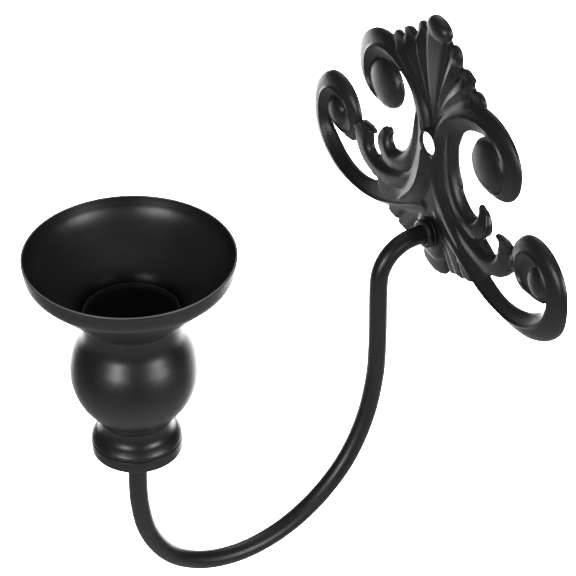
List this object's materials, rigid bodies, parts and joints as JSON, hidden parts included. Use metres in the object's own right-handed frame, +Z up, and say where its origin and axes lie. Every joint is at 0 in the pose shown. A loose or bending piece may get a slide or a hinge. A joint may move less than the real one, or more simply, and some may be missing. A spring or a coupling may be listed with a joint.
{
  "type": "wall sconce candle holder",
  "caption": "Pressed scroll-and-fan wall plate carrying a bent round bar that hooks down and up to a turned cup: foot, ball and flared dish with a round candle socket.",
  "frame": {"origin": "on the wall plane, at the centre of the bar's flat rear end, on the wall plate's centre line", "axes": "+X to the sconce's right as seen when facing the wall from the room, +Y into the wall, +Z up; the sconce's front faces -Y"},
  "size_m": [0.1882, 0.1884, 0.2422],
  "materials": {
    "plate_paint": "satin black paint on pressed steel",
    "bar_paint": "satin black paint on round bar",
    "cup_paint": "satin black paint on turned and spun metal",
    "fixing_paint": "satin black paint on nuts and washers",
    "zinc": "dull zinc plating"
  },
  "bodies": {
    "root": {"wall_plate": "plate_paint", "arm_bar": "bar_paint", "front_washer": "fixing_paint", "front_collar": "fixing_paint", "rear_washer": "zinc", "rear_nut": "zinc", "base_disc": "cup_paint", "foot_bell": "cup_paint", "ball": "cup_paint", "dish": "cup_paint", "socket_sleeve": "cup_paint", "cup_washer": "zinc", "cup_nut": "zinc"}
  },
  "joints": []
}
